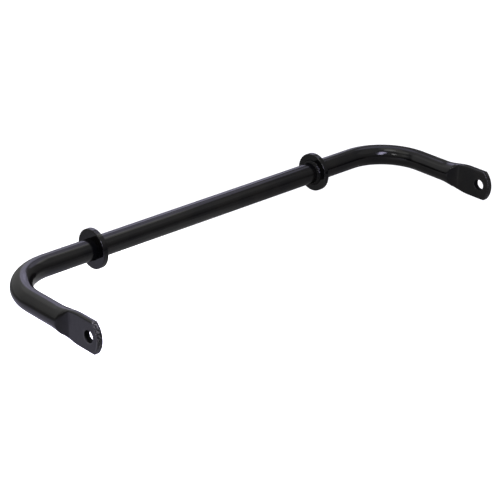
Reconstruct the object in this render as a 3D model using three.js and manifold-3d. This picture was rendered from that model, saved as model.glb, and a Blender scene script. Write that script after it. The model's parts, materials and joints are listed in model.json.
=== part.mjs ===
// Stabiliser bar (sway bar) of a light off-road vehicle.
//
// A round steel bar runs along X and turns through a right angle at each end, so that its two arms
// reach along -Y. Each arm is forged into an upright flat paddle with a hole for an end link's bolt.
// Two thick collars stand on the straight section, each with a weld bead on its inboard side, and stop
// the bushings that sit between collar and bend from creeping inwards.
//
// The bar twists along its straight section when one wheel rises, so it is built as two mirrored
// halves that meet at its middle, where a torsion hinge stands for the twist.
//
// Millimetres, +Z up. The origin is on the bar's axis, midway between the arms.

import * as THREE from 'three';
import { mergeVertices } from 'three/addons/utils/BufferGeometryUtils.js';
import Module from 'manifold-3d';

// Bar
const BAR_DIAMETER = 20;
const ARM_SPACING = 470;          // between the two arms' centrelines
const BEND_RADIUS = 48.5;         // of the centreline
const ARM_REACH = 139.2;          // from the bar's axis to an arm's tip

// Forged paddle at each arm's end, with lengths taken back from the tip
const PADDLE_WIDTH = 29.2;
const PADDLE_THICKNESS = 5.6;
const PADDLE_EDGE_RADIUS = 1.4;
const FLAT_LENGTH = 38.2;         // where the paddle has its even thickness
const SCOOP_LENGTH = 8.2;         // behind that, where the dies' rounded backs bit into the round bar
const SCOOP_END_SLOPE = 0.5;      // of a scoop where it meets the flat face
const WIDE_LENGTH = 26;           // where the paddle has its full width
const SPREADING_LENGTH = 32;      // behind that, where the round bar spreads to it
const TIP_RADIUS = 19.5;          // of the paddle's rounded end, seen from the side
const TIP_DROP = 0.8;             // how far that arc's centre lies below the arm's axis
const HOLE_DIAMETER = 10.5;       // clearance for an M10 bolt
const HOLE_FROM_TIP = 12;

// Stop collars and their welds
const COLLAR_SPACING = 270;       // between the collars' middles
const COLLAR_DIAMETER = 37.2;
const COLLAR_THICKNESS = 5.4;
const COLLAR_CHAMFER = 0.7;
const WELD_LEG = 3;
const BORE_GAP = 0.3;             // kept between the bar and what is fitted round it

// Fineness
const STEPS_PER_QUARTER = 8;      // of the bar's section
const FLAT_SHARE = 0.25;          // of those steps, on the paddle's flat face
const CORNER_SHARE = 0.375;       // and round its edge
const SHARES_SETTLE = 1.5;        // how much thinning it takes until the steps are shared out so
const BEND_STEPS = 14;
const FIRST_SPREADING_STEPS = 4;  // of the arm, up to where the scoops begin
const SCOOP_STEPS = 11;
const LAST_SPREADING_STEPS = 5;   // from where the paddle is flat to where it is full width
const HOLE_STEPS = 32;
const TIP_STEPS = 16;
const COLLAR_STEPS = 48;
const WELD_STEPS = 32;
const WELD_PROFILE_STEPS = 4;
const CUT_MARGIN = 5;             // how far a cutter stands past what it cuts

const BAR_RADIUS = BAR_DIAMETER / 2;
const BORE_RADIUS = BAR_RADIUS + BORE_GAP;
const ARM_X = ARM_SPACING / 2;
const HALF_THICKNESS = PADDLE_THICKNESS / 2;
const FLAT_START = ARM_REACH - FLAT_LENGTH;
const SCOOP_START = FLAT_START - SCOOP_LENGTH;
const WIDE_START = ARM_REACH - WIDE_LENGTH;
const SPREADING_START = WIDE_START - SPREADING_LENGTH;
const SCOOP_DEPTH = BAR_RADIUS - HALF_THICKNESS;
const SCOOP_CURVE = (SCOOP_DEPTH / SCOOP_LENGTH - SCOOP_END_SLOPE) / SCOOP_LENGTH;

const wasm = await Module();
wasm.setup();

const blackPaint = new THREE.MeshStandardMaterial({ color: 0x17171a, roughness: 0.28, metalness: 0.0 });
const collarPaint = new THREE.MeshStandardMaterial({ color: 0x131316, roughness: 0.32, metalness: 0.0 });
const weldPaint = new THREE.MeshStandardMaterial({ color: 0x1b1b1e, roughness: 0.38, metalness: 0.0 });

function mix(from, to, share) {
  return from + (to - from) * share;
}

// Half the bar's thickness at a distance along the arm. The scoops on both sides are steepest where they
// bite into the round bar, and end in a slight kink where the paddle's flat faces begin.
function halfThickness(reach) {
  const left = THREE.MathUtils.clamp(FLAT_START - reach, 0, SCOOP_LENGTH);
  return HALF_THICKNESS + SCOOP_END_SLOPE * left + SCOOP_CURVE * left ** 2;
}

// The other way round: how far along the arm the scoops have cut it down to a half thickness.
function scoopReach(thickness) {
  const root = Math.sqrt(SCOOP_END_SLOPE ** 2 + 4 * SCOOP_CURVE * (thickness - HALF_THICKNESS));
  return FLAT_START - (root - SCOOP_END_SLOPE) / (2 * SCOOP_CURVE);
}

function halfWidth(reach) {
  const spread = THREE.MathUtils.smoothstep(reach, SPREADING_START, WIDE_START);
  return mix(BAR_RADIUS, PADDLE_WIDTH / 2, spread);
}

// A quarter of the bar's section, as [outward, up] pairs from straight out to straight up: a flat that
// the dies pressed, a rounded edge and what is left of the round side.
function quarterOutline(thickness, width) {
  const insetRadius = BAR_RADIUS - PADDLE_EDGE_RADIUS;
  const insetWidth = width - PADDLE_EDGE_RADIUS;
  const edgeOut = thickness - PADDLE_EDGE_RADIUS;
  const sideStart = Math.acos(edgeOut / insetRadius);
  const edgeUp = insetWidth * Math.sin(sideStart);
  const thinning = Math.min(1, (BAR_RADIUS - thickness) / SHARES_SETTLE);
  const flatEnd = FLAT_SHARE * thinning;
  const edgeEnd = CORNER_SHARE * thinning;
  const facing = (angle) => Math.atan2(insetRadius * Math.sin(angle), insetWidth * Math.cos(angle));
  const outline = [];
  for (let step = 0; step <= STEPS_PER_QUARTER; step += 1) {
    const share = step / STEPS_PER_QUARTER;
    let [out, up, turn] = [edgeOut, edgeUp, 0];
    if (share < flatEnd) {
      up *= share / flatEnd;
    } else if (share < edgeEnd) {
      turn = facing(sideStart) * (share - flatEnd) / (edgeEnd - flatEnd);
    } else {
      const angle = mix(sideStart, Math.PI / 2, (share - edgeEnd) / (1 - edgeEnd));
      out = insetRadius * Math.cos(angle);
      up = insetWidth * Math.sin(angle);
      turn = facing(angle);
    }
    outline.push([out + PADDLE_EDGE_RADIUS * Math.cos(turn), up + PADDLE_EDGE_RADIUS * Math.sin(turn)]);
  }
  return outline;
}

// The whole section, which turns anticlockwise. Every section has the same number of points, so that
// neighbouring ones join up.
function sectionOutline(reach) {
  const quarter = quarterOutline(halfThickness(reach), halfWidth(reach));
  const last = quarter.length - 1;
  const upper = [...quarter, ...quarter.slice(0, last).reverse().map(([out, up]) => [-out, up])];
  const lower = upper.slice(1, -1).reverse().map(([out, up]) => [out, -up]);
  return [...upper, ...lower];
}

// Stations along the right half's centreline: where each is, which way is outward from the bend, and
// how far along the arm it is.
function halfBarStations() {
  const stations = [{ x: 0, y: 0, turn: 0, reach: 0 }];
  for (let step = 0; step <= BEND_STEPS; step += 1) {
    const turn = (Math.PI / 2) * step / BEND_STEPS;
    stations.push({
      x: ARM_X - BEND_RADIUS * (1 - Math.sin(turn)),
      y: -BEND_RADIUS * (1 - Math.cos(turn)),
      turn,
      reach: 0,
    });
  }
  const reaches = [];
  for (let step = 0; step < FIRST_SPREADING_STEPS; step += 1) {
    reaches.push(mix(SPREADING_START, SCOOP_START, step / FIRST_SPREADING_STEPS));
  }
  // Stations along the scoops are where the edge of what they cut has moved on evenly round the bar.
  const lastTurn = Math.acos(HALF_THICKNESS / BAR_RADIUS);
  for (let step = 0; step < SCOOP_STEPS; step += 1) {
    reaches.push(scoopReach(BAR_RADIUS * Math.cos(lastTurn * step / SCOOP_STEPS)));
  }
  for (let step = 0; step <= LAST_SPREADING_STEPS; step += 1) {
    reaches.push(mix(FLAT_START, WIDE_START, step / LAST_SPREADING_STEPS));
  }
  reaches.push(ARM_REACH + CUT_MARGIN);
  for (const reach of reaches) {
    stations.push({ x: ARM_X, y: -reach, turn: Math.PI / 2, reach });
  }
  return stations;
}

// The right half of the bar, from the middle of the straight section to just past the arm's tip.
function halfBarBlank() {
  const positions = [];
  const triangles = [];
  const stations = halfBarStations();
  for (const { x, y, turn, reach } of stations) {
    for (const [outward, up] of sectionOutline(reach)) {
      positions.push(x + outward * Math.sin(turn), y + outward * Math.cos(turn), up);
    }
  }
  const around = 4 * STEPS_PER_QUARTER;
  const lastRing = (stations.length - 1) * around;
  for (let ring = 0; ring < lastRing; ring += around) {
    for (let point = 0; point < around; point += 1) {
      const next = (point + 1) % around;
      triangles.push(ring + point, ring + next, ring + around + next);
      triangles.push(ring + point, ring + around + next, ring + around + point);
    }
  }
  for (let point = 1; point < around - 1; point += 1) {
    triangles.push(0, point + 1, point);
    triangles.push(lastRing, lastRing + point, lastRing + point + 1);
  }
  const geometry = new THREE.BufferGeometry();
  geometry.setAttribute('position', new THREE.Float32BufferAttribute(positions, 3));
  geometry.setIndex(triangles);
  return geometry;
}

// Everything behind the paddle's rounded end, as a plate that is thicker than the bar.
function tipEnvelope() {
  const halfHeight = PADDLE_WIDTH / 2 + CUT_MARGIN;
  const upperAngle = Math.asin((PADDLE_WIDTH / 2 + TIP_DROP) / TIP_RADIUS);
  const lowerAngle = Math.asin((PADDLE_WIDTH / 2 - TIP_DROP) / TIP_RADIUS);
  const tipCentre = ARM_REACH - TIP_RADIUS;
  const outline = new THREE.Shape();
  outline.moveTo(-halfHeight, -halfHeight);
  outline.lineTo(tipCentre + TIP_RADIUS * Math.cos(lowerAngle), -halfHeight);
  outline.absarc(tipCentre, -TIP_DROP, TIP_RADIUS, -lowerAngle, upperAngle, false);
  outline.lineTo(tipCentre + TIP_RADIUS * Math.cos(upperAngle), halfHeight);
  outline.lineTo(-halfHeight, halfHeight);
  outline.closePath();
  const depth = ARM_X + BAR_RADIUS + 2 * CUT_MARGIN;
  const plate = new THREE.ExtrudeGeometry(outline, { depth, bevelEnabled: false, curveSegments: TIP_STEPS });
  // Shape x runs along -Y and shape y along +Z, so the extrusion runs along -X.
  const placed = new THREE.Matrix4().makeBasis(
    new THREE.Vector3(0, -1, 0),
    new THREE.Vector3(0, 0, 1),
    new THREE.Vector3(-1, 0, 0),
  );
  plate.applyMatrix4(placed);
  plate.translate(ARM_X + BAR_RADIUS + CUT_MARGIN, 0, 0);
  return plate;
}

function linkHole() {
  const length = PADDLE_THICKNESS + 2 * CUT_MARGIN;
  const hole = new THREE.CylinderGeometry(HOLE_DIAMETER / 2, HOLE_DIAMETER / 2, length, HOLE_STEPS);
  hole.rotateZ(Math.PI / 2);
  hole.translate(ARM_X, -(ARM_REACH - HOLE_FROM_TIP), 0);
  return hole;
}

function toSolid(geometry) {
  const bare = geometry.clone();
  bare.deleteAttribute('normal');
  bare.deleteAttribute('uv');
  const merged = mergeVertices(bare, 1e-4);
  return new wasm.Manifold(new wasm.Mesh({
    numProp: 3,
    vertProperties: new Float32Array(merged.attributes.position.array),
    triVerts: new Uint32Array(merged.index.array),
  }));
}

function toGeometry(solid) {
  const mesh = solid.getMesh();
  const geometry = new THREE.BufferGeometry();
  geometry.setAttribute('position', new THREE.Float32BufferAttribute(mesh.vertProperties, 3));
  geometry.setIndex(Array.from(mesh.triVerts));
  return geometry;
}

// The same shape on the other side of X = 0, with its faces still pointing out.
function mirroredInX(geometry) {
  const copy = geometry.clone();
  copy.scale(-1, 1, 1);
  const corners = copy.index.array;
  for (let first = 0; first < corners.length; first += 3) {
    [corners[first + 1], corners[first + 2]] = [corners[first + 2], corners[first + 1]];
  }
  return copy;
}

function halfBarGeometry() {
  const forged = toSolid(halfBarBlank()).intersect(toSolid(tipEnvelope()));
  const geometry = toGeometry(forged.subtract(toSolid(linkHole())));
  geometry.computeVertexNormals();
  return geometry;
}

// A washer round the Y axis, centred on the origin.
function collarGeometry() {
  const half = COLLAR_THICKNESS / 2;
  const rim = COLLAR_DIAMETER / 2;
  const profile = [
    [BORE_RADIUS, -half],
    [rim - COLLAR_CHAMFER, -half],
    [rim, -half + COLLAR_CHAMFER],
    [rim, half - COLLAR_CHAMFER],
    [rim - COLLAR_CHAMFER, half],
    [BORE_RADIUS, half],
    [BORE_RADIUS, -half],
  ];
  return new THREE.LatheGeometry(profile.map(([r, y]) => new THREE.Vector2(r, y)), COLLAR_STEPS);
}

// A fillet weld round the Y axis, standing on the plane Y = 0 and reaching towards +Y.
function weldGeometry() {
  const profile = [new THREE.Vector2(BORE_RADIUS, 0)];
  for (let step = 0; step <= WELD_PROFILE_STEPS; step += 1) {
    const angle = (Math.PI / 2) * step / WELD_PROFILE_STEPS;
    profile.push(new THREE.Vector2(
      BORE_RADIUS + WELD_LEG * Math.cos(angle),
      WELD_LEG * Math.sin(angle),
    ));
  }
  profile.push(new THREE.Vector2(BORE_RADIUS, 0));
  return new THREE.LatheGeometry(profile, WELD_STEPS);
}

function namedMesh(name, geometry, material) {
  const mesh = new THREE.Mesh(geometry, material);
  mesh.name = name;
  return mesh;
}

// One side of the object: side is -1 for the left one and 1 for the right one.
function sideGroup(side, label, barGeometry) {
  const group = new THREE.Group();
  group.add(namedMesh(`bar_${label}_half`, barGeometry, blackPaint));

  const collarX = side * COLLAR_SPACING / 2;
  const collar = namedMesh(`collar_${label}`, collarGeometry(), collarPaint);
  collar.position.x = collarX;
  collar.rotation.z = Math.PI / 2;
  group.add(collar);

  const weld = namedMesh(`collar_weld_${label}`, weldGeometry(), weldPaint);
  weld.position.x = collarX - side * COLLAR_THICKNESS / 2;
  weld.rotation.z = side * Math.PI / 2;
  group.add(weld);
  return group;
}

const rightHalf = halfBarGeometry();
const group = new THREE.Group();
group.add(sideGroup(-1, 'left', mirroredInX(rightHalf)));
group.add(sideGroup(1, 'right', rightHalf));

export default group;
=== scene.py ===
"""Looks of the sway bar: a gloss black forged bar with two stop collars and their weld beads.

Metres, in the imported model's own frame: the bar's axis is X, both arms reach along -Y and +Z is up.
"""

import json
import math

import bpy
import numpy as np
from mathutils import Matrix, Vector, noise


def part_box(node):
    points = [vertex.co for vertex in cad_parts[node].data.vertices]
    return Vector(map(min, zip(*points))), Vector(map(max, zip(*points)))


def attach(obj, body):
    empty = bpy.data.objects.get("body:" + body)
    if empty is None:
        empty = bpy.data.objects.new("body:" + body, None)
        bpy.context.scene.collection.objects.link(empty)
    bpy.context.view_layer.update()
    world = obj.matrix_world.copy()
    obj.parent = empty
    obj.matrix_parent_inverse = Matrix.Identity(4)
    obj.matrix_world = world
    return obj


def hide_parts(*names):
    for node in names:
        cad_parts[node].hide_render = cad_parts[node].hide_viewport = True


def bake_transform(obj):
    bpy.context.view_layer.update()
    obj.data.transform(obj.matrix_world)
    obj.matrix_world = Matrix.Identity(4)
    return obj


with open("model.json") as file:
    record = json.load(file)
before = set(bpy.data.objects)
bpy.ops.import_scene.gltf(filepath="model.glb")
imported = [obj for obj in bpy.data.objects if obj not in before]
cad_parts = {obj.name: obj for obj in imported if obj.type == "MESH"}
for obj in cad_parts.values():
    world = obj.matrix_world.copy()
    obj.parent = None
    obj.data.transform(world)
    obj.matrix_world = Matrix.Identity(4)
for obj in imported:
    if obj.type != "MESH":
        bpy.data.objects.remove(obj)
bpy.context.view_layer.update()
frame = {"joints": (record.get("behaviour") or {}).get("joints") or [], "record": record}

MM = 0.001

# ---------------------------------------------------------------- sizes that the frame doesn't hold
BEND_RADIUS = 48.5 * MM
PADDLE_EDGE_RADIUS = 1.4 * MM
SCOOP_EDGE_RADIUS = 6.0 * MM      # what that widens to where a scoop begins
FLAT_LENGTH = 38.2 * MM           # of even thickness, back from the tip
SCOOP_LENGTH = 8.2 * MM           # behind that, where the dies' backs bit into the round bar
SCOOP_END_SLOPE = 0.5             # of a scoop where it meets the flat face
SCOOP_START_ROUNDING = 1.6 * MM   # of the edge where a scoop begins, as depth from the bar's surface
SCOOP_RUN_IN = 2 * MM             # how far before a scoop that rounding can begin
EDGE_WIDENING_LENGTH = SCOOP_LENGTH / 1.5   # of a scoop, where the edge's radius changes
WIDE_LENGTH = 26 * MM             # of full width, back from the tip
SPREADING_LENGTH = 32 * MM        # behind that, where the round bar spreads to it
TIP_RADIUS = 19.5 * MM
TIP_DROP = 0.8 * MM               # how far the tip's arc is centred below the arm's axis
TIP_EDGE_RADIUS = 0.9 * MM
TIP_CORNER_RADII = {"top": 1.8 * MM, "bottom": 3.0 * MM}
HOLE_RADIUS = 5.25 * MM
HOLE_FROM_TIP = 12 * MM
HOLE_RIM_RADIUS = 0.6 * MM
DRILL_SCUFF_WIDTH = 1.5 * MM      # of the roughened ring of flat face round a hole
DRILL_SCUFF = 0.6                 # how rough it is beside the hole's own wall
COLLAR_EDGE_RADIUS = 0.8 * MM
SEAT_OVERLAP = 0.15 * MM          # how far a collar or bead sinks into what it is fixed to

# ---------------------------------------------------------------- places worked out from the frame
MOUNTS = {mount["name"]: Vector(mount["pos_m"]) for mount in frame["record"]["mounts"]}
PADDLE_OUTER_X = MOUNTS["link_pad_right_outer"].x
PADDLE_INNER_X = MOUNTS["link_pad_right_inner"].x
ARM_X = (PADDLE_OUTER_X + PADDLE_INNER_X) / 2
PADDLE_THICKNESS = PADDLE_OUTER_X - PADDLE_INNER_X
ARM_REACH = -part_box("bar_right_half")[0].y
BAR_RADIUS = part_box("bar_right_half")[1].y
PADDLE_HALF_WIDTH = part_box("bar_right_half")[1].z
HALF_THICKNESS = PADDLE_THICKNESS / 2
FLAT_START = ARM_REACH - FLAT_LENGTH
SCOOP_START = FLAT_START - SCOOP_LENGTH
SCOOP_CURVE = ((BAR_RADIUS - HALF_THICKNESS) / SCOOP_LENGTH - SCOOP_END_SLOPE) / SCOOP_LENGTH
WIDE_START = ARM_REACH - WIDE_LENGTH
HOLE_REACH = ARM_REACH - HOLE_FROM_TIP

# ---------------------------------------------------------------- fineness of the meshes
FLAT_STEPS = 12                   # along half of a paddle's flat face
EDGE_STEPS = 6                    # round its edge
SIDE_STEPS = 6                    # from there to the middle of its narrow side
QUARTER_STEPS = FLAT_STEPS + EDGE_STEPS + SIDE_STEPS
AROUND = 4 * QUARTER_STEPS
SHARES_SETTLE = 1.5 * MM          # how much thinning it takes until the steps are shared out so
STRAIGHT_STEP = 2.5 * MM
BEND_STEPS = 48
RUN_IN_STEPS = 6
SCOOP_STEPS = 40
SPREADING_STEPS = 8               # from where a paddle is flat to where it is full width
TIP_RUN_STEPS = 16                # along each edge of a paddle, from there to its corner
TIP_CORNER_STEPS = 8
TIP_ARC_STEPS = 14                # from each corner to the foremost point
RADIAL_STEPS = 9                  # from a paddle's outline to its hole
RADIAL_CROWDING = 1.3             # more than 1 sets those steps closer together near the hole
RIM_STEPS = 4
WALL_STEPS = 6
COLLAR_STEPS = 144                # round the bar
COLLAR_FACE_STEPS = 11
COLLAR_EDGE_STEPS = 6
COLLAR_RIM_STEPS = 5
WELD_STEPS = 320                  # round the bar
WELD_ARC_STEPS = 14               # from the bar to the collar


def mix(start, end, share):
    return start + (end - start) * share


def smoothstep(share):
    share = np.clip(share, 0.0, 1.0)
    return share * share * (3 - 2 * share)


# ================================================================ the bar

def quarter_section(reach):
    """A quarter of the bar's section, as [outward, up], from straight out to straight up.

    It has a flat that the dies pressed, a rounded edge and what is left of the round side."""
    left = min(max(FLAT_START - reach, 0.0), SCOOP_LENGTH + SCOOP_RUN_IN)
    cut = HALF_THICKNESS + SCOOP_END_SLOPE * left + SCOOP_CURVE * left ** 2
    rounding = max(SCOOP_START_ROUNDING - abs(cut - BAR_RADIUS), 0.0)
    thickness = min(cut, BAR_RADIUS) - rounding ** 2 / (4 * SCOOP_START_ROUNDING)
    spread = float(smoothstep((reach - WIDE_START + SPREADING_LENGTH) / SPREADING_LENGTH))
    width = mix(BAR_RADIUS, PADDLE_HALF_WIDTH, spread)
    edge_radius = mix(PADDLE_EDGE_RADIUS, SCOOP_EDGE_RADIUS, float(smoothstep(left / EDGE_WIDENING_LENGTH)))
    inset_radius = BAR_RADIUS - edge_radius
    inset_width = width - edge_radius
    edge_out = thickness - edge_radius
    side_start = math.acos(min(edge_out / inset_radius, 1.0))
    edge_up = inset_width * math.sin(side_start)
    thinning = min(1.0, (BAR_RADIUS - thickness) / SHARES_SETTLE)
    flat_end = thinning * FLAT_STEPS / QUARTER_STEPS
    edge_end = thinning * (FLAT_STEPS + EDGE_STEPS) / QUARTER_STEPS

    def facing(angle):
        return math.atan2(inset_radius * math.sin(angle), inset_width * math.cos(angle))

    rows = []
    for step in range(QUARTER_STEPS + 1):
        share = step / QUARTER_STEPS
        out, up, turn = edge_out, edge_up, 0.0
        if share < flat_end:
            up *= share / flat_end
        elif share < edge_end:
            turn = facing(side_start) * (share - flat_end) / (edge_end - flat_end)
        else:
            angle = mix(side_start, math.pi / 2, (share - edge_end) / (1 - edge_end))
            out = inset_radius * math.cos(angle)
            up = inset_width * math.sin(angle)
            turn = facing(angle)
        rows.append([out + edge_radius * math.cos(turn), up + edge_radius * math.sin(turn)])
    return np.array(rows)


def whole_section(reach):
    """All four quarters, anticlockwise from straight out."""
    quarter = quarter_section(reach)
    upper = np.vstack([quarter, quarter[-2::-1] * [-1, 1]])
    return np.vstack([upper, upper[-2:0:-1] * [1, -1]])


def scoop_reaches():
    """Along a scoop, where the edge of what it cuts has moved on evenly round the bar."""
    last_turn = math.acos(HALF_THICKNESS / BAR_RADIUS)
    reaches = []
    for step in range(SCOOP_STEPS):
        depth = BAR_RADIUS * math.cos(last_turn * step / SCOOP_STEPS) - HALF_THICKNESS
        root = math.sqrt(SCOOP_END_SLOPE ** 2 + 4 * SCOOP_CURVE * depth)
        reaches.append(FLAT_START - (root - SCOOP_END_SLOPE) / (2 * SCOOP_CURVE))
    return reaches


def bar_stations():
    """(centre x, centre y, turn, reach along the arm) along the right half, to its full width."""
    straight_end = ARM_X - BEND_RADIUS
    stations = []
    for x in np.linspace(0, straight_end, round(straight_end / STRAIGHT_STEP) + 1)[:-1]:
        stations.append((x, 0.0, 0.0, 0.0))
    for turn in np.linspace(0, math.pi / 2, BEND_STEPS + 1):
        x = straight_end + BEND_RADIUS * math.sin(turn)
        y = -BEND_RADIUS * (1 - math.cos(turn))
        stations.append((x, y, turn, 0.0))
    run_in_start = SCOOP_START - SCOOP_RUN_IN
    arm_steps = math.ceil((run_in_start - BEND_RADIUS) / STRAIGHT_STEP)
    reaches = list(np.linspace(BEND_RADIUS, run_in_start, arm_steps + 1)[1:-1])
    reaches += list(np.linspace(run_in_start, SCOOP_START, RUN_IN_STEPS + 1)[:-1])
    reaches += scoop_reaches()
    reaches += list(np.linspace(FLAT_START, WIDE_START, SPREADING_STEPS + 1))
    return stations + [(ARM_X, -reach, math.pi / 2, reach) for reach in reaches]


def side_profile():
    """Across the paddle's narrow side, from face to face: rows of [outward, inset from its crest]."""
    half = quarter_section(ARM_REACH)[FLAT_STEPS:]
    rows = np.column_stack([half[:, 0], PADDLE_HALF_WIDTH - half[:, 1]])
    return np.vstack([rows, rows[-2::-1] * [-1, 1]])


def tip_profile():
    """The same across the paddle's end, where it was sheared: flat, with a small rounded edge."""
    rows = []
    for step in range(EDGE_STEPS + SIDE_STEPS + 1):
        if step <= EDGE_STEPS:
            angle = math.pi / 2 * step / EDGE_STEPS
            out = HALF_THICKNESS - TIP_EDGE_RADIUS * (1 - math.cos(angle))
            rows.append([out, TIP_EDGE_RADIUS * (1 - math.sin(angle))])
        else:
            share = (step - EDGE_STEPS) / SIDE_STEPS
            rows.append([(HALF_THICKNESS - TIP_EDGE_RADIUS) * (1 - share), 0.0])
    rows = np.array(rows)
    return np.vstack([rows, rows[-2::-1] * [-1, 1]])


def half_tip_outline(corner, sign):
    """The paddle's outline from its upper or lower edge to the foremost point of its tip.

    Rows of [reach, up, normal reach, normal up, how much of the tip's own profile it has]."""
    half = PADDLE_HALF_WIDTH + sign * TIP_DROP
    centre = ARM_REACH - TIP_RADIUS
    # Centre of the small arc that rounds the corner between the edge and the tip's arc
    corner_up = half - corner
    corner_reach = centre + math.sqrt((TIP_RADIUS - corner) ** 2 - corner_up ** 2)
    tip_angle = math.atan2(corner_up, corner_reach - centre)
    rows = []
    for i in range(TIP_RUN_STEPS):
        rows.append([mix(WIDE_START, corner_reach, i / TIP_RUN_STEPS), half, 0.0, 1.0, 0.0])
    for i in range(TIP_CORNER_STEPS):
        share = i / TIP_CORNER_STEPS
        angle = mix(math.pi / 2, tip_angle, share)
        n_reach, n_up = math.cos(angle), math.sin(angle)
        place = [corner_reach + corner * n_reach, corner_up + corner * n_up]
        rows.append(place + [n_reach, n_up, float(smoothstep(share))])
    for i in range(TIP_ARC_STEPS + 1):
        angle = mix(tip_angle, 0.0, i / TIP_ARC_STEPS)
        n_reach, n_up = math.cos(angle), math.sin(angle)
        rows.append([centre + TIP_RADIUS * n_reach, TIP_RADIUS * n_up, n_reach, n_up, 1.0])
    return np.array(rows) * [1, sign, 1, sign, 1] - [0, TIP_DROP, 0, 0, 0]


def tip_outline():
    upper = half_tip_outline(TIP_CORNER_RADII["top"], 1)
    lower = half_tip_outline(TIP_CORNER_RADII["bottom"], -1)
    return np.vstack([upper, lower[-2::-1]])


class HalfBar:
    """Vertices and faces of the bar's right half."""

    def __init__(self):
        self.points = []
        self.faces = []
        self.rough = []           # 1 where the steel under the paint was sheared or drilled
        self.bore = []            # 1 inside the hole, whose wall the material paints as shade: plain black and less glossy
        self.edge = []            # 1 on the paddle's rounded edges
        self.forged = []          # 1 where the bar was hammered flat

    def add(self, point, rough=0.0, edge=0.0, forged=1.0, bore=0.0):
        self.points.append(point)
        self.rough.append(rough)
        self.bore.append(bore)
        self.edge.append(edge)
        self.forged.append(forged)
        return len(self.points) - 1

    def strip(self, first, second, closed=False):
        """Quads between two rows of vertices."""
        count = len(first)
        for i in range(count if closed else count - 1):
            j = (i + 1) % count
            self.faces.append([first[i], first[j], second[j], second[i]])

    def build(self):
        previous = None
        for x, y, turn, reach in bar_stations():
            forged = float(smoothstep((reach - SCOOP_START) / SCOOP_LENGTH))
            ring = []
            for outward, up in whole_section(reach):
                point = (x + outward * math.sin(turn), y + outward * math.cos(turn), up)
                ring.append(self.add(point, forged=forged))
            if previous is None:
                self.first_ring = ring
            else:
                self.strip(previous, ring, closed=True)
            previous = ring
        self.cap(previous)
        return self

    def cap(self, ring):
        """The paddle from where it is full width to its tip, with its hole."""
        side, tip = side_profile(), tip_profile()
        last = len(side) - 1
        top = list(range(FLAT_STEPS, 2 * QUARTER_STEPS - FLAT_STEPS + 1))
        bottom = [(-i) % AROUND for i in top]
        rows = [[ring[i] for i in top]]
        for reach, up, n_reach, n_up, sheared in tip_outline()[1:-1]:
            row = []
            for step, (outward, inset) in enumerate(mix(side, tip, sheared)):
                round_edge = min(step, last - step) / EDGE_STEPS
                row.append(self.add(
                    (ARM_X + outward, -(reach - inset * n_reach), up - inset * n_up),
                    rough=sheared,
                    edge=math.sin(math.pi * min(round_edge, 1.0)),
                ))
            rows.append(row)
        rows.append([ring[i] for i in bottom])
        for first, second in zip(rows[:-1], rows[1:]):
            self.strip(first, second)

        outer_face = [ring[i % AROUND] for i in range(-FLAT_STEPS, FLAT_STEPS + 1)]
        inner_face = [ring[2 * QUARTER_STEPS - i] for i in range(-FLAT_STEPS, FLAT_STEPS + 1)]
        outer_loop = outer_face[:-1] + [row[0] for row in rows[:-1]]
        inner_loop = inner_face[:-1] + [row[-1] for row in rows[:-1]]
        outer_rim = self.face_to_hole(outer_loop, 1)
        inner_rim = self.face_to_hole(inner_loop, -1)
        wall_half = HALF_THICKNESS - HOLE_RIM_RADIUS
        previous = outer_rim
        for step in range(1, WALL_STEPS):
            outward = mix(wall_half, -wall_half, step / WALL_STEPS)
            row = []
            for i in outer_rim:
                _, y, z = self.points[i]
                row.append(self.add((ARM_X + outward, y, z), rough=1.0, bore=1.0))
            self.strip(previous, row, closed=True)
            previous = row
        self.strip(previous, inner_rim, closed=True)

    def face_to_hole(self, loop, side):
        """Fills one flat face between its outline and the hole, and rounds the hole's rim."""
        directions = []
        for i in loop:
            _, y, z = self.points[i]
            length = math.hypot(y + HOLE_REACH, z)
            directions.append(((y + HOLE_REACH) / length, z / length, length))
        rows = [loop]
        flat_radius = HOLE_RADIUS + HOLE_RIM_RADIUS
        for step in range(1, RADIAL_STEPS + 1):
            share = 1 - (1 - step / RADIAL_STEPS) ** RADIAL_CROWDING
            row = []
            for along, up, length in directions:
                radius = mix(length, flat_radius, share)
                near = float(smoothstep(1 - (radius - flat_radius) / DRILL_SCUFF_WIDTH))
                row.append(self.add(
                    (ARM_X + side * HALF_THICKNESS, -HOLE_REACH + along * radius, up * radius),
                    rough=DRILL_SCUFF * near,
                ))
            rows.append(row)
        for step in range(1, RIM_STEPS + 1):
            angle = math.pi / 2 * step / RIM_STEPS
            radius = HOLE_RADIUS + HOLE_RIM_RADIUS * (1 - math.sin(angle))
            outward = HALF_THICKNESS - HOLE_RIM_RADIUS * (1 - math.cos(angle))
            row = []
            for along, up, _ in directions:
                row.append(self.add(
                    (ARM_X + side * outward, -HOLE_REACH + along * radius, up * radius),
                    rough=1.0,
                    edge=1.0,
                    bore=step / RIM_STEPS,
                ))
            rows.append(row)
        for first, second in zip(rows[:-1], rows[1:]):
            if side > 0:
                self.strip(first, second, closed=True)
            else:
                self.strip(second, first, closed=True)
        return rows[-1]


def add_attribute(mesh, name, values, kind="FLOAT"):
    attribute = mesh.attributes.new(name, kind, "POINT")
    field = "vector" if kind == "FLOAT_VECTOR" else "value"
    attribute.data.foreach_set(field, np.asarray(values, np.float32).ravel())


def make_piece(name, points, faces, material, **attributes):
    """A mesh object with outward faces, smooth shading and the given vertex values."""
    mesh = bpy.data.meshes.new(name)
    mesh.from_pydata([tuple(point) for point in points], [], faces)
    mesh.validate()
    for attribute, values in attributes.items():
        add_attribute(mesh, attribute, values)
    add_attribute(mesh, "rest_position", points, "FLOAT_VECTOR")
    mesh.shade_smooth()
    mesh.materials.append(material)
    piece = bpy.data.objects.new(name, mesh)
    bpy.context.scene.collection.objects.link(piece)
    return piece


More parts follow.
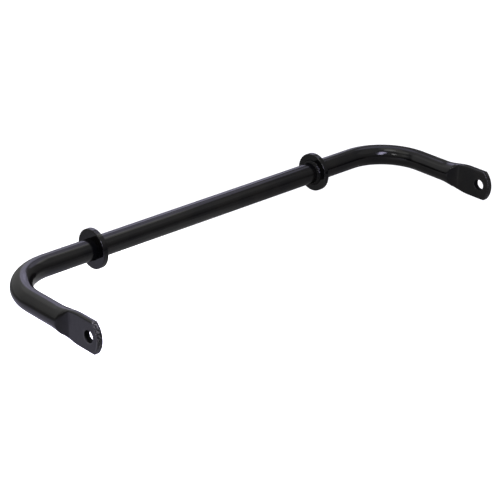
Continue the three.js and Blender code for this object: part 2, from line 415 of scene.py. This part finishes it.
def outward_faces(points, faces):
    """The faces, all turned over if together they point inwards."""
    corners = np.array(points)[np.array(faces)]
    first = np.cross(corners[:, 1] - corners[:, 0], corners[:, 2] - corners[:, 0])
    second = np.cross(corners[:, 2] - corners[:, 0], corners[:, 3] - corners[:, 0])
    volume = np.einsum("ij,ij->", corners[:, 0], first + second)
    return faces if volume > 0 else [face[::-1] for face in faces]


# Light grey speckles on sheared and drilled steel are partly real chipping and partly painted glints. They
# are made stronger on the left paddle and towards the top of each paddle, where more light falls.
RIGHT_CHIPS_AND_GLINTS = 0.2              # how strong the right paddle's chip speckles and painted glints are beside the left's
LOW_CHIPS_AND_GLINTS = 0.25               # and at the bottom of a paddle beside its top


def make_bar(material):
    """The whole bar: the right half and its mirror image, which share the ring at the middle."""
    half = HalfBar().build()
    count = len(half.points)
    right = np.array(half.points)
    shared = set(half.first_ring)
    left_index = {}
    left_points = []
    for i in range(count):
        if i in shared:
            left_index[i] = i
        else:
            left_index[i] = count + len(left_points)
            left_points.append(right[i] * [-1, 1, 1])
    kept = [i for i in range(count) if i not in shared]
    points = np.vstack([right, np.array(left_points)])
    faces = half.faces + [[left_index[i] for i in face[::-1]] for face in half.faces]
    values = {}
    for key in ("rough", "edge", "forged", "bore"):
        one_side = np.array(getattr(half, key))
        values[key] = np.concatenate([one_side, one_side[kept]])
    # Chip speckles and painted glints: full at the top of the left paddle, weaker on the right paddle and
    # towards the bottom of each paddle, where less light falls
    height = np.clip((points[:, 2] / PADDLE_HALF_WIDTH + 1) / 2, 0, 1)
    side = np.where(points[:, 0] < 0, 1.0, RIGHT_CHIPS_AND_GLINTS)
    values["chips_and_glints"] = values["rough"] * side * mix(LOW_CHIPS_AND_GLINTS, 1.0, height)
    faces = outward_faces(points, faces)
    return make_piece("sway_bar", points, faces, material, **values)


# ================================================================ collars and welds

def lathe(profile_at, steps):
    """Points and outward quads of a closed profile turned round X.

    profile_at gives the profile at an angle, as (along, radius) pairs, always equally many."""
    points = []
    for i in range(steps):
        turn = 2 * math.pi * i / steps
        for along, radius in profile_at(turn):
            points.append((along, radius * math.cos(turn), radius * math.sin(turn)))
    count = len(points) // steps
    faces = []
    for i in range(steps):
        k = (i + 1) % steps
        for j in range(count):
            n = (j + 1) % count
            faces.append([i * count + j, i * count + n, k * count + n, k * count + j])
    return points, outward_faces(points, faces)


def fix_to_bar(piece, label, node):
    """Makes a collar or bead ride on its own side of the bar, in place of its CAD node."""
    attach(piece, f"{label}_side")
    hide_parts(node)


def collar_profile(low_x, high_x, rim):
    """The collar's section as [along, radius], and how much of a rounded edge each point is on."""
    bore = BAR_RADIUS - SEAT_OVERLAP
    edge = COLLAR_EDGE_RADIUS
    profile = []
    edges = []
    for radius in np.linspace(bore, rim - edge, COLLAR_FACE_STEPS + 1):
        profile.append([low_x, radius])
        edges.append(0.0)
    for step in range(1, COLLAR_EDGE_STEPS + 1):
        angle = math.pi / 2 * step / COLLAR_EDGE_STEPS
        profile.append([low_x + edge * (1 - math.cos(angle)), rim - edge * (1 - math.sin(angle))])
        edges.append(math.sin(2 * angle) ** 2)
    for along in np.linspace(low_x + edge, high_x - edge, COLLAR_RIM_STEPS + 1)[1:]:
        profile.append([along, rim])
        edges.append(0.0)
    for step in range(1, COLLAR_EDGE_STEPS + 1):
        angle = math.pi / 2 * step / COLLAR_EDGE_STEPS
        profile.append([high_x - edge * (1 - math.sin(angle)), rim - edge * (1 - math.cos(angle))])
        edges.append(math.sin(2 * angle) ** 2)
    for radius in np.linspace(rim - edge, bore, COLLAR_FACE_STEPS + 1)[1:]:
        profile.append([high_x, radius])
        edges.append(0.0)
    return profile, edges


def make_collar(label, material):
    node = f"collar_{label}"
    low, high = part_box(node)
    profile, edges = collar_profile(low.x, high.x, (high.z - low.z) / 2)
    points, faces = lathe(lambda turn: profile, COLLAR_STEPS)
    piece = make_piece(f"stop_{node}", points, faces, material, edge=np.tile(edges, COLLAR_STEPS))
    fix_to_bar(piece, label, node)


WELD_RIPPLES = 26                 # round the bead
WELD_CONVEXITY = 0.45             # of the bead's section, from 0, a straight fillet, to 1, round
WELD_BODY = 0.90                  # the bead's mean size, as a share of its leg
WELD_WANDER = 0.10                # how much that varies round the bar
WELD_WANDER_SCALE = 2.2           # how quickly
RIPPLE_HEIGHT = 0.13              # as a share of the leg
RIPPLE_MEAN = 0.6                 # of a ripple's height, to leave the bead's size as it is
RIPPLE_BOW = 0.45                 # how far a ripple bows forward in the middle of the bead
RIPPLE_DRIFT = 0.35               # how far the unevenness shifts it
LUMP_HEIGHT = 0.07                # as a share of the leg
LUMP_SCALES = (9, 1.5)            # of lumps, round the bar and across the bead
WELD_SEED = Vector((11.3, 4.7, 2.9))


def weld_reach(turn, angle, seed):
    """How far the bead's surface is from its corner, as a share of its leg.

    turn is round the bar, and angle is across the bead, from the bar's normal to the collar's."""
    wander = noise.noise(Vector((math.cos(turn), math.sin(turn), 0)) * WELD_WANDER_SCALE + seed)
    straight = 1 / (math.cos(angle) + math.sin(angle))
    body = mix(straight, 1.0, WELD_CONVEXITY) * (WELD_BODY + WELD_WANDER * wander)
    phase = turn * WELD_RIPPLES / (2 * math.pi)
    phase += RIPPLE_BOW * math.sin(2 * angle) + RIPPLE_DRIFT * wander
    share = phase % 1.0
    crest = math.sqrt(max(0.0, 1 - (2 * share - 1) ** 2))
    ripple = RIPPLE_HEIGHT * (crest - RIPPLE_MEAN) * math.sin(2 * angle)
    round_scale, across_scale = LUMP_SCALES
    place = Vector((math.cos(turn) * round_scale, math.sin(turn) * round_scale, angle * across_scale))
    return body + ripple + LUMP_HEIGHT * noise.noise(place + seed)


def make_weld(label, material):
    node = f"collar_weld_{label}"
    low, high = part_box(node)
    leg = high.x - low.x
    side = -1 if label == "right" else 1
    face_x = high.x if label == "right" else low.x
    sunk_x = face_x - side * SEAT_OVERLAP
    sunk_radius = BAR_RADIUS - SEAT_OVERLAP

    def profile_at(turn):
        profile = []
        for step in range(WELD_ARC_STEPS + 1):
            angle = math.pi / 2 * step / WELD_ARC_STEPS
            reach = leg * weld_reach(turn, angle, WELD_SEED * side)
            profile.append([face_x + side * reach * math.sin(angle), BAR_RADIUS + reach * math.cos(angle)])
        profile[0][0] = sunk_x
        profile[-1][1] = sunk_radius
        return profile + [[sunk_x, sunk_radius]]

    points, faces = lathe(profile_at, WELD_STEPS)
    piece = make_piece(f"weld_bead_{label}", points, faces, material)
    fix_to_bar(piece, label, node)


# ================================================================ materials

class Nodes:
    """Short ways to build the node tree of one material round its Principled shader."""

    def __init__(self, name):
        self.material = bpy.data.materials.new(name)
        self.material.use_nodes = True
        self.tree = self.material.node_tree
        self.shader = self.tree.nodes["Principled BSDF"]

    def link(self, source, target):
        self.tree.links.new(source, target)

    def set(self, socket, value):
        """Links the value if it is another node's output, and stores it otherwise."""
        if isinstance(value, bpy.types.NodeSocket):
            self.link(value, socket)
        else:
            socket.default_value = value

    def attribute(self, name, kind):
        node = self.tree.nodes.new("ShaderNodeAttribute")
        node.attribute_name = name
        return node.outputs[kind]

    def noise(self, size, detail=2.0, roughness=0.5):
        """Noise of 0 to 1 whose lumps are about the given size."""
        node = self.tree.nodes.new("ShaderNodeTexNoise")
        self.link(self.attribute("rest_position", "Vector"), node.inputs["Vector"])
        node.inputs["Scale"].default_value = 1 / size
        node.inputs["Detail"].default_value = detail
        node.inputs["Roughness"].default_value = roughness
        return node.outputs["Fac"]

    def math(self, operation, first, second=0.0):
        node = self.tree.nodes.new("ShaderNodeMath")
        node.operation = operation
        self.set(node.inputs[0], first)
        self.set(node.inputs[1], second)
        return node.outputs["Value"]

    def span(self, value, between, to=(0.0, 1.0)):
        """The value's place between two numbers, as a place between two others."""
        node = self.tree.nodes.new("ShaderNodeMapRange")
        self.set(node.inputs["Value"], value)
        node.inputs["From Min"].default_value = between[0]
        node.inputs["From Max"].default_value = between[1]
        node.inputs["To Min"].default_value = to[0]
        node.inputs["To Max"].default_value = to[1]
        return node.outputs["Result"]

    def blend(self, share, first, second):
        """A colour between two others."""
        node = self.tree.nodes.new("ShaderNodeMix")
        node.data_type = "RGBA"
        self.set(node.inputs["Factor"], share)
        # The node has an A and a B for each kind of value, which its data type shows or hides
        first_socket, second_socket = [socket for socket in node.inputs if socket.type == "RGBA"]
        for socket, colour in ((first_socket, first), (second_socket, second)):
            self.set(socket, colour if isinstance(colour, bpy.types.NodeSocket) else (*colour, 1.0))
        return next(socket for socket in node.outputs if socket.type == "RGBA")

    def bump(self, height, depth, below=None):
        """A normal for a height of 0 to 1 that stands for the given depth."""
        node = self.tree.nodes.new("ShaderNodeBump")
        self.set(node.inputs["Height"], height)
        node.inputs["Distance"].default_value = depth
        if below:
            self.link(below, node.inputs["Normal"])
        return node.outputs["Normal"]


PAINT_BLACK = (0.0005, 0.0005, 0.0006)
PAINT_BROWNER = (0.0014, 0.0013, 0.0011)
PAINT_WORN = (0.018, 0.017, 0.017)
# Light grey of chipping, which also stands for painted glints, on sheared and drilled steel
PAINT_CHIPS_AND_GLINTS = (0.06, 0.058, 0.055)
COAT_IOR = 1.5
COAT_WEIGHT = 0.15                # how much of a full gloss coat the paint has
WELD_COAT_WEIGHT = 0.07
BORE_COAT_SHARE = 0.2             # of that, inside a hole, as painted shade
SHEARED_ROUGHNESS = 0.6              # of the paint where the steel was sheared or drilled

# Sizes of the paint's and the steel's unevenness
PATCH_SIZE = 18 * MM              # of browner patches
WEAR_SIZE = 0.9 * MM              # of worn spots on edges, and of the chip-and-glint speckles
SHINE_SIZE = 3 * MM               # of changes of roughness
PEEL_SIZE = 1.1 * MM              # of orange peel
GRIT_SIZE = 0.22 * MM
GRIT_DEPTH = 0.0006 * MM
DENT_SIZE = 4.5 * MM              # of the forging's dents
DENT_DEPTH = 0.10 * MM
GRAIN_SIZE = 0.5 * MM             # of sheared steel
GRAIN_DEPTH = 0.35 * MM

# The noise at which each effect begins and is complete, and how far it goes
PATCH_NOISE = (0.35, 0.70)
WEAR_NOISE = (0.52, 0.66)
MOST_WORN = 0.5
# The chip speckles, which are also painted glints
CHIP_AND_GLINT_NOISE = (0.54, 0.62)
MOST_CHIPS_AND_GLINTS = 0.8
SHINE_NOISE = (0.3, 0.7)
SHINE_ROUGHNESS = (0.34, 0.52)


def paint(name, peel_depth, coat_roughness, coat_weight=COAT_WEIGHT, forged=False):
    """Gloss black paint over steel, with orange peel, and with the steel's own unevenness where forged."""
    nodes = Nodes(name)
    shader = nodes.shader
    shader.inputs["Specular IOR Level"].default_value = 0.0
    shader.inputs["Coat Weight"].default_value = coat_weight
    shader.inputs["Coat IOR"].default_value = COAT_IOR
    shader.inputs["Coat Roughness"].default_value = coat_roughness

    patches = nodes.span(nodes.noise(PATCH_SIZE, detail=3.0), PATCH_NOISE)
    colour = nodes.blend(patches, PAINT_BLACK, PAINT_BROWNER)
    edge = nodes.attribute("edge", "Fac")
    thin = nodes.span(nodes.noise(WEAR_SIZE, detail=4.0, roughness=0.65), WEAR_NOISE, (0.0, MOST_WORN))
    colour = nodes.blend(nodes.math("MULTIPLY", edge, thin), colour, PAINT_WORN)

    peel = nodes.bump(nodes.noise(PEEL_SIZE), peel_depth)
    normal = nodes.bump(nodes.noise(GRIT_SIZE, detail=1.0), GRIT_DEPTH, peel)
    roughness = nodes.span(nodes.noise(SHINE_SIZE, detail=4.0), SHINE_NOISE, SHINE_ROUGHNESS)
    if forged:
        rough = nodes.attribute("rough", "Fac")
        hammered = nodes.attribute("forged", "Fac")
        bore = nodes.attribute("bore", "Fac")
        dents = nodes.math("MULTIPLY", nodes.noise(DENT_SIZE, detail=3.0), hammered)
        normal = nodes.bump(dents, DENT_DEPTH, normal)
        grain = nodes.math("MULTIPLY", nodes.noise(GRAIN_SIZE, detail=3.0, roughness=0.7), rough)
        normal = nodes.bump(grain, GRAIN_DEPTH, normal)
        # Light speckles where the steel was sheared or drilled: partly chipping and partly painted glints,
        # weighted towards the left paddle and the tops of the paddles
        chip_and_glint_mask = nodes.span(nodes.noise(WEAR_SIZE), CHIP_AND_GLINT_NOISE, (0.0, MOST_CHIPS_AND_GLINTS))
        chip_and_glint_mask = nodes.math("MULTIPLY", nodes.attribute("chips_and_glints", "Fac"), chip_and_glint_mask)
        colour = nodes.blend(chip_and_glint_mask, colour, PAINT_CHIPS_AND_GLINTS)
        # The hole's wall is painted plain black, without wear or speckles: painted shade inside the hole
        colour = nodes.blend(bore, colour, PAINT_BLACK)
        sheared = nodes.math("MULTIPLY", rough, SHEARED_ROUGHNESS)
        roughness = nodes.math("MAXIMUM", roughness, sheared)
        # Less gloss inside the hole, which also paints shade into it
        coat = nodes.span(bore, (0.0, 1.0), (coat_weight, BORE_COAT_SHARE * coat_weight))
        nodes.link(coat, shader.inputs["Coat Weight"])
    nodes.link(colour, shader.inputs["Base Color"])
    nodes.link(roughness, shader.inputs["Roughness"])
    nodes.link(normal, shader.inputs["Normal"])
    nodes.link(normal, shader.inputs["Coat Normal"])
    return nodes.material


# ================================================================ stage, light and camera

VIEW_AZIMUTH = math.radians(-42.78)
VIEW_ELEVATION = math.radians(25.18)
VIEW_ROLL = math.radians(0.85)
VIEW_DISTANCE = 1.5325
AIM_RIGHT = 37.5 * MM             # where the camera aims, from the origin
AIM_DOWN = 38.9 * MM
LENS_MM = 119.1
SENSOR_MM = 36
FLOOR_CLEARANCE = 3 * MM
FLOOR_HALF_SIZE = 6.0
FLOOR_REFLECTANCE = 0.06
FLOOR_ROUGHNESS = 0.9
FLOOR_GLOW = 0.82                 # radiance of the floor itself, which is a lit table


def make_camera():
    back = Vector((
        math.sin(VIEW_AZIMUTH) * math.cos(VIEW_ELEVATION),
        -math.cos(VIEW_AZIMUTH) * math.cos(VIEW_ELEVATION),
        math.sin(VIEW_ELEVATION),
    ))
    level = Vector((math.cos(VIEW_AZIMUTH), math.sin(VIEW_AZIMUTH), 0))
    upward = back.cross(level)
    right = level * math.cos(VIEW_ROLL) + upward * math.sin(VIEW_ROLL)
    up = upward * math.cos(VIEW_ROLL) - level * math.sin(VIEW_ROLL)
    camera = bpy.data.objects.new("camera", bpy.data.cameras.new("camera"))
    camera.data.lens = LENS_MM
    camera.data.sensor_width = SENSOR_MM
    place = right * AIM_RIGHT - up * AIM_DOWN + back * VIEW_DISTANCE
    camera.matrix_world = Matrix((
        (right.x, up.x, back.x, place.x),
        (right.y, up.y, back.y, place.y),
        (right.z, up.z, back.z, place.z),
        (0, 0, 0, 1),
    ))
    bpy.context.scene.collection.objects.link(camera)
    bpy.context.scene.camera = camera


def floor_height():
    """Just under the lowest place that an arm reaches at the joint's limits."""
    limit = math.radians(max(abs(x) for x in frame["joints"][0]["range_deg"]))
    lowest = ARM_REACH * math.sin(limit) + PADDLE_HALF_WIDTH * math.cos(limit)
    return -(lowest + FLOOR_CLEARANCE)


def make_floor():
    mesh = bpy.data.meshes.new("floor")
    signs = ((-1, -1), (1, -1), (1, 1), (-1, 1))
    corners = [(x * FLOOR_HALF_SIZE, y * FLOOR_HALF_SIZE, floor_height()) for x, y in signs]
    mesh.from_pydata(corners, [], [(0, 1, 2, 3)])
    floor = bpy.data.objects.new("floor", mesh)
    material = bpy.data.materials.new("pale_floor")
    material.use_nodes = True
    shader = material.node_tree.nodes["Principled BSDF"]
    shader.inputs["Base Color"].default_value = (FLOOR_REFLECTANCE, FLOOR_REFLECTANCE, FLOOR_REFLECTANCE, 1)
    shader.inputs["Roughness"].default_value = FLOOR_ROUGHNESS
    shader.inputs["Emission Color"].default_value = (1, 1, 1, 1)
    shader.inputs["Emission Strength"].default_value = FLOOR_GLOW
    mesh.materials.append(material)
    bpy.context.scene.collection.objects.link(floor)


# Tints of the lights, in red, green and blue
PLAIN = (1.0, 1.0, 1.0)
COOL = (0.75, 0.72, 1.0)
WARM = (1.0, 1.0, 0.9)

# Softboxes: where each is seen from the object, as degrees from +Y towards +X, degrees up, degrees
# across half of it, metres away, and its radiance and tint.
SOFTBOXES = {
    "wall behind": (-15, 15, 38, 1.2, 2, PLAIN),
    "bright wall behind": (35, 18, 18, 1.2, 5, COOL),
    "bright panel behind": (28, 34, 9, 1.2, 5, COOL),
    "rim panel behind": (42, 26, 7, 1.2, 6, COOL),
    "high behind": (0, 56, 22, 1.2, 1.5, PLAIN),
    "high right": (60, 54, 16, 1.2, 5, COOL),
    "high front right": (140, 54, 22, 1.2, 1, PLAIN),
    "key, lower half": (-162, 30, 8, 1.2, 60, COOL),
    "key, upper half": (-160, 45, 9, 1.2, 60, COOL),
    "second key": (-118, 34, 6, 1.2, 30, PLAIN),
    "overhead": (-150, 80, 10, 1.2, 12, PLAIN),
    "near overhead": (-22, 83, 15, 0.45, 5, WARM),
    "near right, high": (90, 67, 11, 0.5, 5, WARM),
    "near left, high": (-95, 35, 19, 0.75, 1.5, WARM),
    "near left, behind": (-75, 37, 14, 0.6, 2, PLAIN),
}
WORLD_RADIANCE = 1.5              # of the studio's walls and ceiling, high up
HORIZON_RADIANCE = 0.45           # and level with the object
HORIZON_TOP = 0.45                # sine of the elevation at which the world has its full radiance


def disk_light(name, radius, radiance, tint):
    """A round area light whose surface has the given radiance where its tint is 1."""
    light = bpy.data.lights.new(name, "AREA")
    light.shape = "DISK"
    light.size = 2 * radius
    light.color = tint
    area = math.pi * radius ** 2
    light.energy = math.pi * area * radiance
    return light


def make_softbox(name, azimuth, elevation, half_angle, distance, radiance, tint):
    """A round light that faces the origin."""
    radius = distance * math.tan(math.radians(half_angle))
    light = disk_light(name, radius, radiance, tint)
    azimuth, elevation = math.radians(azimuth), math.radians(elevation)
    outward = Vector((
        math.sin(azimuth) * math.cos(elevation),
        math.cos(azimuth) * math.cos(elevation),
        math.sin(elevation),
    ))
    lamp = bpy.data.objects.new(name, light)
    lamp.location = outward * distance
    lamp.rotation_euler = outward.to_track_quat("Z", "Y").to_euler()
    bpy.context.scene.collection.objects.link(lamp)


# Lights low over the floor that face it, so that it is brighter towards the left: x and y of the
# middle, radius, radiance and tint.
FLOOR_WASHES = {
    "floor wash, left": (-0.30, -0.03, 0.16, 35, COOL),
    "floor wash, middle": (-0.08, 0.0, 0.13, 16, PLAIN),
    "floor wash, front": (0.02, -0.09, 0.08, 20, PLAIN),
}
FLOOR_WASH_HEIGHT = 30 * MM       # above the floor


def make_floor_wash(name, x, y, radius, radiance, tint):
    lamp = bpy.data.objects.new(name, disk_light(name, radius, radiance, tint))
    lamp.location = (x, y, floor_height() + FLOOR_WASH_HEIGHT)
    bpy.context.scene.collection.objects.link(lamp)


def make_light():
    world = bpy.data.worlds.new("studio")
    bpy.context.scene.world = world
    world.use_nodes = True
    nodes, links = world.node_tree.nodes, world.node_tree.links
    direction = nodes.new("ShaderNodeTexCoord")
    parts = nodes.new("ShaderNodeSeparateXYZ")
    climb = nodes.new("ShaderNodeMapRange")
    climb.inputs["From Max"].default_value = HORIZON_TOP
    climb.inputs["To Min"].default_value = HORIZON_RADIANCE
    climb.inputs["To Max"].default_value = WORLD_RADIANCE
    links.new(direction.outputs["Generated"], parts.inputs["Vector"])
    links.new(parts.outputs["Z"], climb.inputs["Value"])
    nodes["Background"].inputs["Color"].default_value = (1, 1, 1, 1)
    links.new(climb.outputs["Result"], nodes["Background"].inputs["Strength"])
    for name, values in SOFTBOXES.items():
        make_softbox(name, *values)
    for name, values in FLOOR_WASHES.items():
        make_floor_wash(name, *values)


bpy.context.scene.view_settings.view_transform = "Standard"
bar_paint = paint("gloss_black_bar", peel_depth=0.004 * MM, coat_roughness=0.14, forged=True)
collar_paint = paint("gloss_black_collar", peel_depth=0.0015 * MM, coat_roughness=0.10)
weld_paint = paint(
    "gloss_black_weld", peel_depth=0.006 * MM, coat_roughness=0.12, coat_weight=WELD_COAT_WEIGHT
)

bar = make_bar(bar_paint)
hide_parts("bar_left_half", "bar_right_half")
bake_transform(bar)
for label in ("left", "right"):
    make_collar(label, collar_paint)
    make_weld(label, weld_paint)

make_camera()
make_floor()
make_light()
